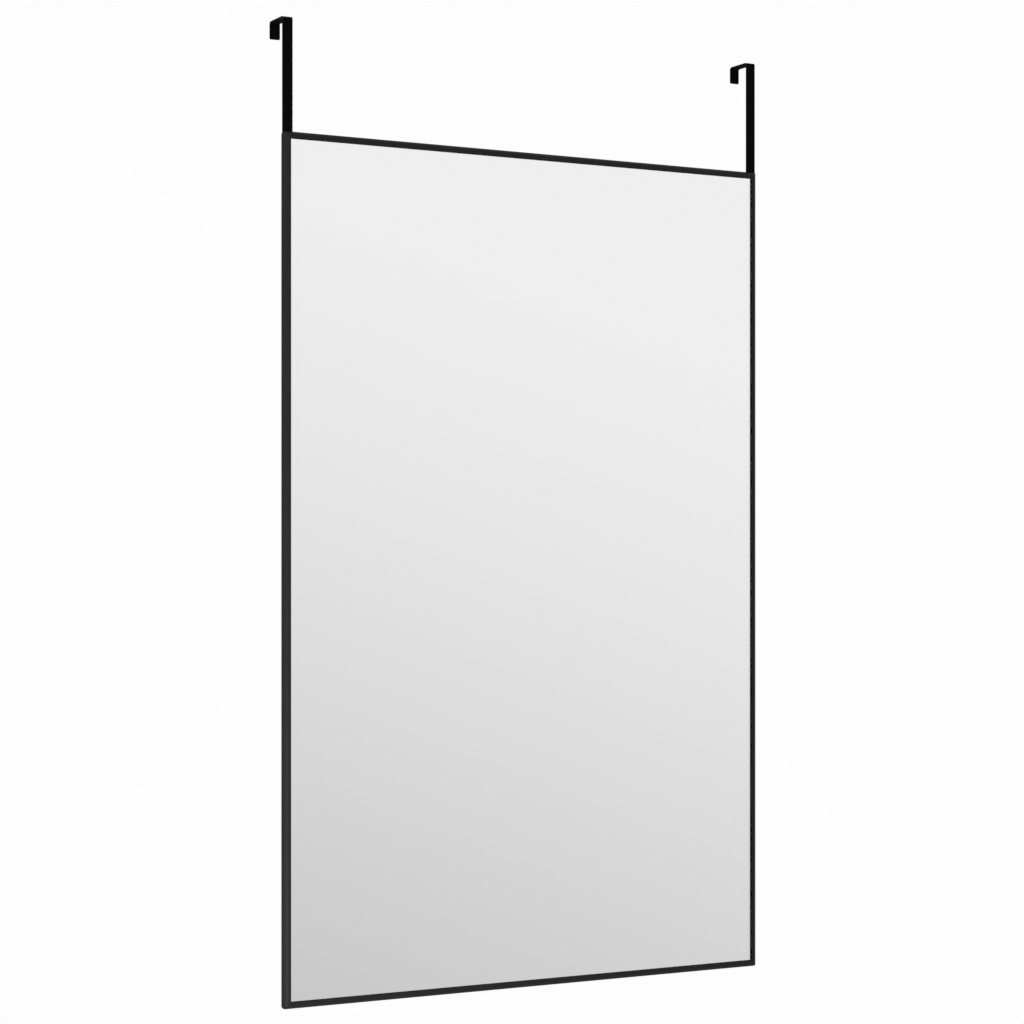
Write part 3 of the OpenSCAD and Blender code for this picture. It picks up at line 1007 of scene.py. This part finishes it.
# %% [markdown]
# ## The studio
#
# Seen straight, the studio is plain, a hair under white. What the glass reflects is the same pale
# room with a little shape: it is lightest high up and to the right of the camera, and darkens softly
# towards the floor on the left. The photograph's mirror shows exactly that slope of grey. The world
# shader turns it into a function of direction, so the reflection is real from every side.
#
# Soft light from all round does most of the work. It is strongest from the left, as on the
# photograph's rails. The kind of ray decides what it meets: one that comes straight from the camera
# sees the backdrop, one that left glass or a gloss sees the room, and all others gather the fill.
#
# Three large lamps add form to the black rails and light the back. They are hidden from rays that
# pass through glass, so that the mirror doesn't show bright squares.

# %% Paint the room that the mirror shows
lighter_towards = (0.3147, 0.1736, 0.9331)

world = bpy.data.worlds.new("studio")
bpy.context.scene.world = world
world.use_nodes = True
nodes = world.node_tree.nodes
connect = world.node_tree.links.new
nodes.clear()
direction = nodes.new("ShaderNodeTexCoord")
slope = nodes.new("ShaderNodeVectorMath")
slope.operation = "DOT_PRODUCT"
slope.inputs[1].default_value = lighter_towards
span = nodes.new("ShaderNodeMapRange")
span.inputs["From Min"].default_value = -0.5
span.inputs["From Max"].default_value = 0.5
ramp = nodes.new("ShaderNodeValToRGB")
ramp.color_ramp.elements[0].position = 0.0
ramp.color_ramp.elements[0].color = (0.40, 0.40, 0.40, 1)
ramp.color_ramp.elements[1].position = 0.6
ramp.color_ramp.elements[1].color = (0.92, 0.92, 0.92, 1)
for place, level in ((0.31, 0.615), (0.5, 0.843)):
    stop = ramp.color_ramp.elements.new(place)
    stop.color = (level, level, level, 1)
room = nodes.new("ShaderNodeBackground")
connect(direction.outputs["Generated"], slope.inputs[0])
connect(slope.outputs["Value"], span.inputs["Value"])
connect(span.outputs["Result"], ramp.inputs["Fac"])
connect(ramp.outputs["Color"], room.inputs["Color"])
print("The room's grey runs along", lighter_towards)

# %% Add the soft fill and the backdrop
fill_from = (-0.93, -0.2, -0.3)
weakest_fill = 0.1
strongest_fill = 1.1

side = nodes.new("ShaderNodeVectorMath")
side.operation = "DOT_PRODUCT"
side.inputs[1].default_value = fill_from
fill = nodes.new("ShaderNodeMapRange")
fill.inputs["From Min"].default_value = -1.0
fill.inputs["From Max"].default_value = 1.0
fill.inputs["To Min"].default_value = weakest_fill
fill.inputs["To Max"].default_value = strongest_fill
ambient = nodes.new("ShaderNodeBackground")
ambient.inputs["Color"].default_value = (1, 1, 1, 1)
backdrop = nodes.new("ShaderNodeBackground")
backdrop.inputs["Strength"].default_value = backdrop_grey
backdrop.inputs["Color"].default_value = (1, 1, 1, 1)
connect(direction.outputs["Generated"], side.inputs[0])
connect(side.outputs["Value"], fill.inputs["Value"])
connect(fill.outputs["Result"], ambient.inputs["Strength"])
print("The fill runs from", weakest_fill, "to", strongest_fill, "towards", fill_from)

# %% Let the kind of ray choose
path = nodes.new("ShaderNodeLightPath")
mirrored = nodes.new("ShaderNodeMath")
mirrored.operation = "MAXIMUM"
seen_in_gloss = nodes.new("ShaderNodeMixShader")
seen_straight = nodes.new("ShaderNodeMixShader")
output = nodes.new("ShaderNodeOutputWorld")
connect(path.outputs["Is Glossy Ray"], mirrored.inputs[0])
connect(path.outputs["Is Transmission Ray"], mirrored.inputs[1])
connect(mirrored.outputs[0], seen_in_gloss.inputs["Fac"])
connect(ambient.outputs[0], seen_in_gloss.inputs[1])
connect(room.outputs[0], seen_in_gloss.inputs[2])
connect(path.outputs["Is Camera Ray"], seen_straight.inputs["Fac"])
connect(seen_in_gloss.outputs[0], seen_straight.inputs[1])
connect(backdrop.outputs[0], seen_straight.inputs[2])
connect(seen_straight.outputs[0], output.inputs["Surface"])
print("World:", world.name, "with", len(nodes), "nodes")


# %% Hang the lamps
def soft_lamp(name, place, size, watts):
    """A square lamp aimed at the mirror's middle, hidden from what is seen through glass."""
    data = bpy.data.lights.new(name, "AREA")
    data.shape = "SQUARE"
    data.size = size
    data.energy = watts
    lamp = bpy.data.objects.new(name, data)
    lamp.location = place
    aim = (cad_low + cad_high) / 2 - Vector(place)
    lamp.rotation_euler = aim.to_track_quat("-Z", "Y").to_euler()
    lamp.visible_transmission = False
    bpy.context.scene.collection.objects.link(lamp)
    return lamp


lamps = [
    soft_lamp("key lamp", (-2.6, -2.2, 0.6), size=1.6, watts=8),
    soft_lamp("low lamp", (-1.1, -0.9, -1.35), size=0.8, watts=17),
    soft_lamp("back lamp", (0.3, 3.2, 0.0), size=2.6, watts=30)]
bpy.context.scene.view_settings.view_transform = "Standard"
print("Lamps:", ", ".join(lamp.name for lamp in lamps))

# %% [markdown]
# ## The CAD box
#
# The CAD model's box, measured when the model was imported, is printed once more. The
# dressed model has to keep the CAD model's box.

# %% Write the sizes and finish
print("CAD box   ", [round(side / MM, 2) for side in cad_high - cad_low])
